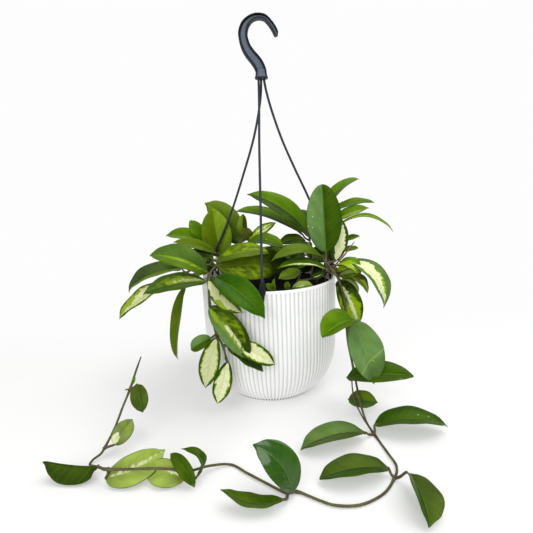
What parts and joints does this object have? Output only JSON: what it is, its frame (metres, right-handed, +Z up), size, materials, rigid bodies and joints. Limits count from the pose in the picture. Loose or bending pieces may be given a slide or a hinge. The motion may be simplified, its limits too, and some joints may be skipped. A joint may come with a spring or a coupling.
{
  "type": "potted tricolor wax plant",
  "caption": "Tricolor wax plant in a fluted hanging pot with a clip-on hanger, standing on its foot, with one long vine along the surface.",
  "frame": {"origin": "centre of the pot's foot, on the surface that it stands on", "axes": "+Z up, -Y towards the side with the trailing vine, +X to the right of that side"},
  "size_m": [0.4145, 0.439, 0.4748],
  "materials": {
    "pot": "satin white moulded plastic",
    "soil": "dark crumbly potting soil",
    "hanger": "satin slate plastic",
    "foliage": "waxy leaves, green, yellow-green and cream"
  },
  "bodies": {
    "root": {"pot": "pot", "soil": "soil", "hook": "hanger", "hanger_arm_front": "hanger", "hanger_arm_left": "hanger", "hanger_arm_right": "hanger", "vine_front_left": "foliage", "vine_far_left": "foliage", "vine_back_left": "foliage", "vine_centre": "foliage", "vine_back_centre": "foliage", "vine_back_right": "foliage", "vine_right": "foliage", "trailing_vine": "foliage", "shoot_inner_left": "foliage", "shoot_inner_right": "foliage", "vine_rear_left": "foliage", "vine_rear": "foliage", "vine_rear_right": "foliage"}
  },
  "joints": []
}
